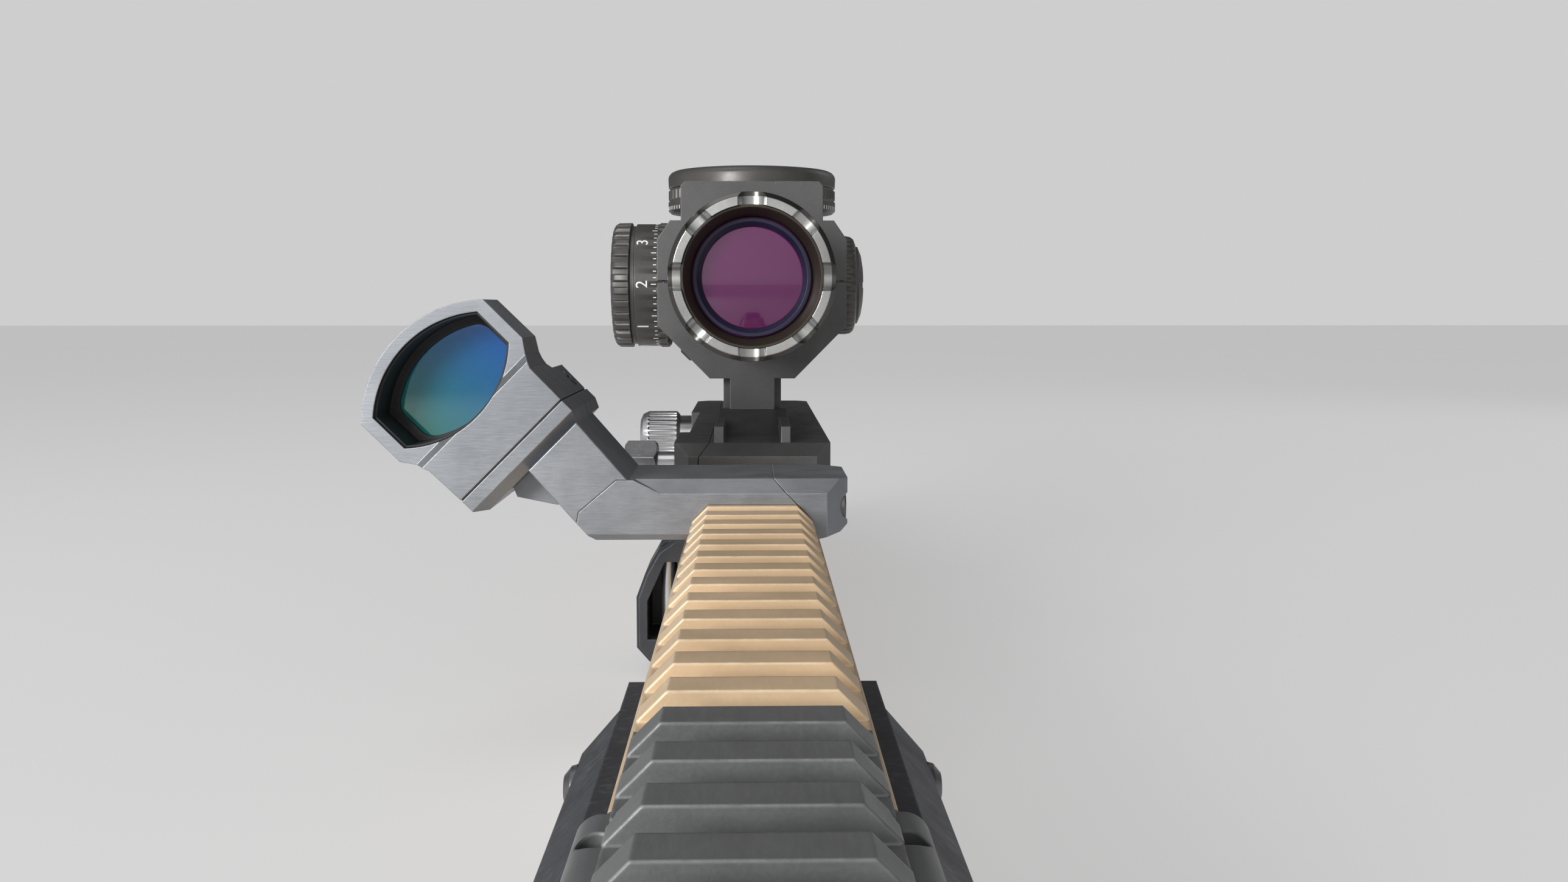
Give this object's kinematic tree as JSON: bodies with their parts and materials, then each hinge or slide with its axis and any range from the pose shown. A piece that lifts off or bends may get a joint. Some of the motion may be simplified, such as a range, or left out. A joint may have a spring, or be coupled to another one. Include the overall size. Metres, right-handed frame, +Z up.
{
  "type": "sighting assembly on slotted rail",
  "caption": "Slotted accessory rail with a variable scope in a ring mount and a small reflex sight on a 45 degree offset clamp mount.",
  "frame": {"origin": "middle of the rail's underside", "axes": "+Y along the rail from its front end to its rear end, +Z up, +X to the right when looking along +Y"},
  "size_m": [0.0987, 0.4574, 0.1155],
  "materials": {
    "tan_rail": "hard-coat tan, satin, edges worn lighter",
    "grey_rail": "grey hard coat, satin",
    "panel_polymer": "moulded black polymer, matt",
    "dark_metal": "black oxide, satin",
    "fastener_steel": "dark zinc steel",
    "bright_steel": "machined steel",
    "grey_anodised": "grey anodised, fine brushed grain",
    "dark_anodised": "dark anodised, satin",
    "mount_anodised": "grey-brown anodised, satin",
    "scope_black": "black hard coat, satin",
    "silver_ring": "bare machined aluminium",
    "olive_cell": "olive-brown coat",
    "coated_lens": "teal to blue coated glass",
    "purple_lens": "purple coated glass",
    "clear_lens": "coated clear glass",
    "seal_rubber": "black rubber, matt",
    "board_green": "green circuit board",
    "emitter_red": "red resin",
    "cell_steel": "nickel-plated steel",
    "button_rubber": "soft matt rubber",
    "inner_brass": "machined brass"
  },
  "bodies": {
    "rail": {"rail_body": "tan_rail", "front_rail_section": "grey_rail", "front_lug_screws": "fastener_steel", "left_side_panel": "panel_polymer", "right_side_panel": "panel_polymer", "side_panel_screws": "fastener_steel", "sling_loop": "dark_metal", "sling_pin": "bright_steel", "offset_base": "grey_anodised", "offset_arm": "grey_anodised", "offset_arm_screws": "fastener_steel", "sight_plate": "grey_anodised", "sight_seal": "seal_rubber", "sight_housing": "grey_anodised", "sight_lens": "coated_lens", "sight_lens_gasket": "seal_rubber", "sight_emitter": "emitter_red", "sight_circuit_board": "board_green", "sight_screws": "fastener_steel", "scope_mount_base": "mount_anodised", "clamp_bolts": "fastener_steel", "ring_cap_front": "mount_anodised", "ring_cap_rear": "mount_anodised", "ring_cap_screws": "fastener_steel", "scope_tube": "scope_black", "objective_ring": "silver_ring", "objective_cell": "olive_cell", "objective_lens": "purple_lens", "turret_seals": "seal_rubber", "erector_spring": "bright_steel", "ocular_housing": "scope_black"},
    "offset_jaw": {"offset_clamp_jaw": "grey_anodised"},
    "offset_front_screw": {"offset_screw_front": "fastener_steel"},
    "offset_rear_screw": {"offset_screw_rear": "fastener_steel"},
    "battery_tray": {"sight_battery_tray": "dark_anodised", "sight_battery": "cell_steel"},
    "up_button": {"brightness_up_button": "button_rubber"},
    "down_button": {"brightness_down_button": "button_rubber"},
    "sight_elevation": {"sight_elevation_screw": "fastener_steel"},
    "sight_windage": {"sight_windage_screw": "fastener_steel"},
    "scope_jaw": {"scope_clamp_jaw": "mount_anodised"},
    "front_nut": {"front_clamp_nut": "bright_steel"},
    "rear_knob": {"rear_clamp_knob": "bright_steel"},
    "elevation_turret": {"elevation_dial": "scope_black", "elevation_cap": "scope_black"},
    "elevation_screw": {"elevation_plunger": "inner_brass"},
    "windage_turret": {"windage_dial": "scope_black"},
    "windage_screw": {"windage_plunger": "inner_brass"},
    "gimbal": {"gimbal_ring": "dark_metal"},
    "erector": {"erector_tube": "dark_metal", "reticle": "clear_lens"},
    "front_cell": {"front_lens_cell": "clear_lens"},
    "rear_cell": {"rear_lens_cell": "clear_lens"},
    "illumination": {"illumination_knob": "scope_black", "illumination_battery": "cell_steel"},
    "battery_cap": {"illumination_battery_cap": "scope_black"},
    "zoom": {"zoom_ring": "scope_black", "throw_lever": "dark_anodised"},
    "ocular_cell": {"ocular_lens": "clear_lens"},
    "focus": {"focus_ring": "scope_black"}
  },
  "joints": [
    {"name": "offset_jaw_slide", "type": "slide", "parent": "rail", "child": "offset_jaw", "axis": [1, 0, 0], "range_m": [0, 0.0014]},
    {"name": "offset_front_screw_turn", "type": "hinge", "parent": "offset_jaw", "child": "offset_front_screw", "pos_m": [0, -0.02502, 0.0433], "axis": [1, 0, 0], "range_deg": [0, 720]},
    {"name": "offset_rear_screw_turn", "type": "hinge", "parent": "offset_jaw", "child": "offset_rear_screw", "pos_m": [0, -0.01502, 0.0433], "axis": [1, 0, 0], "range_deg": [0, 720]},
    {"name": "battery_tray_slide", "type": "slide", "parent": "rail", "child": "battery_tray", "axis": [-0.7071, 0, -0.7071], "range_m": [0, 0.0185]},
    {"name": "up_button_press", "type": "slide", "parent": "rail", "child": "up_button", "axis": [0.7071, 0, 0.7071], "range_m": [0, 0.0008], "stiffness_N_per_m": 150},
    {"name": "down_button_press", "type": "slide", "parent": "rail", "child": "down_button", "axis": [0.7071, 0, 0.7071], "range_m": [0, 0.0008], "stiffness_N_per_m": 150},
    {"name": "sight_elevation_turn", "type": "hinge", "parent": "rail", "child": "sight_elevation", "pos_m": [-0.04662, -0.00528, 0.05833], "axis": [-0.7071, 0, 0.7071], "range_deg": [-180, 180]},
    {"name": "sight_windage_turn", "type": "hinge", "parent": "rail", "child": "sight_windage", "pos_m": [-0.0357, -0.00009, 0.06501], "axis": [0.7071, 0, 0.7071], "range_deg": [-180, 180]},
    {"name": "scope_jaw_slide", "type": "slide", "parent": "rail", "child": "scope_jaw", "axis": [-1, 0, 0], "range_m": [0, 0.002]},
    {"name": "front_nut_turn", "type": "hinge", "parent": "scope_jaw", "child": "front_nut", "pos_m": [0, 0.03503, 0.04295], "axis": [-1, 0, 0], "range_deg": [0, 900]},
    {"name": "rear_knob_turn", "type": "hinge", "parent": "scope_jaw", "child": "rear_knob", "pos_m": [0, 0.12512, 0.04295], "axis": [-1, 0, 0], "range_deg": [0, 900]},
    {"name": "elevation_turret_turn", "type": "hinge", "parent": "rail", "child": "elevation_turret", "pos_m": [0, 0.1206, 0.0846], "axis": [0, 0, 1], "range_deg": [0, 360]},
    {"name": "elevation_screw_lift", "type": "slide", "parent": "rail", "child": "elevation_screw", "axis": [0, 0, 1], "range_m": [0, 0.0006]},
    {"name": "windage_turret_turn", "type": "hinge", "parent": "rail", "child": "windage_turret", "pos_m": [0, 0.1206, 0.0846], "axis": [-1, 0, 0], "range_deg": [0, 360]},
    {"name": "windage_screw_slide", "type": "slide", "parent": "rail", "child": "windage_screw", "axis": [-1, 0, 0], "range_m": [0, 0.0006]},
    {"name": "gimbal_tilt", "type": "hinge", "parent": "rail", "child": "gimbal", "pos_m": [0, 0.1846, 0.0846], "axis": [-1, 0, 0], "range_deg": [0, 0.5381]},
    {"name": "erector_swing", "type": "hinge", "parent": "gimbal", "child": "erector", "pos_m": [0, 0.1846, 0.0846], "axis": [0, 0, -1], "range_deg": [0, 0.5381]},
    {"name": "front_cell_slide", "type": "slide", "parent": "erector", "child": "front_cell", "axis": [0, -1, 0], "range_m": [0, 0.024]},
    {"name": "rear_cell_slide", "type": "slide", "parent": "erector", "child": "rear_cell", "axis": [0, 1, 0], "range_m": [0, 0.02]},
    {"name": "illumination_knob_turn", "type": "hinge", "parent": "rail", "child": "illumination", "pos_m": [0, 0.1206, 0.0846], "axis": [1, 0, 0], "range_deg": [0, 330]},
    {"name": "battery_cap_turn", "type": "hinge", "parent": "illumination", "child": "battery_cap", "pos_m": [0, 0.1206, 0.0846], "axis": [1, 0, 0], "range_deg": [0, 90]},
    {"name": "zoom_ring_turn", "type": "hinge", "parent": "rail", "child": "zoom", "pos_m": [0, 0.1906, 0.0846], "axis": [0, 1, 0], "range_deg": [0, 170]},
    {"name": "focus_ring_turn", "type": "hinge", "parent": "ocular_cell", "child": "focus", "pos_m": [0, 0.1906, 0.0846], "axis": [0, -1, 0], "range_deg": [0, 180]},
    {"name": "ocular_cell_slide", "type": "slide", "parent": "rail", "child": "ocular_cell", "axis": [0, 1, 0], "range_m": [0, 0.0015]}
  ],
  "couplings": [
    {"joint": "offset_front_screw_turn", "follows": "offset_jaw_slide", "rad_per_m": 8976},
    {"joint": "offset_rear_screw_turn", "follows": "offset_jaw_slide", "rad_per_m": 8976},
    {"joint": "front_nut_turn", "follows": "scope_jaw_slide", "rad_per_m": 7854},
    {"joint": "rear_knob_turn", "follows": "scope_jaw_slide", "rad_per_m": 7854},
    {"joint": "elevation_screw_lift", "follows": "elevation_turret_turn", "m_per_rad": 0.000095493},
    {"joint": "windage_screw_slide", "follows": "windage_turret_turn", "m_per_rad": 0.000095493},
    {"joint": "gimbal_tilt", "follows": "elevation_turret_turn", "ratio": 0.0014921},
    {"joint": "erector_swing", "follows": "windage_turret_turn", "ratio": 0.0014921},
    {"joint": "front_cell_slide", "follows": "zoom_ring_turn", "m_per_rad": 0.0080888},
    {"joint": "rear_cell_slide", "follows": "zoom_ring_turn", "m_per_rad": 0.0067407},
    {"joint": "ocular_cell_slide", "follows": "focus_ring_turn", "m_per_rad": 0.00047746}
  ]
}
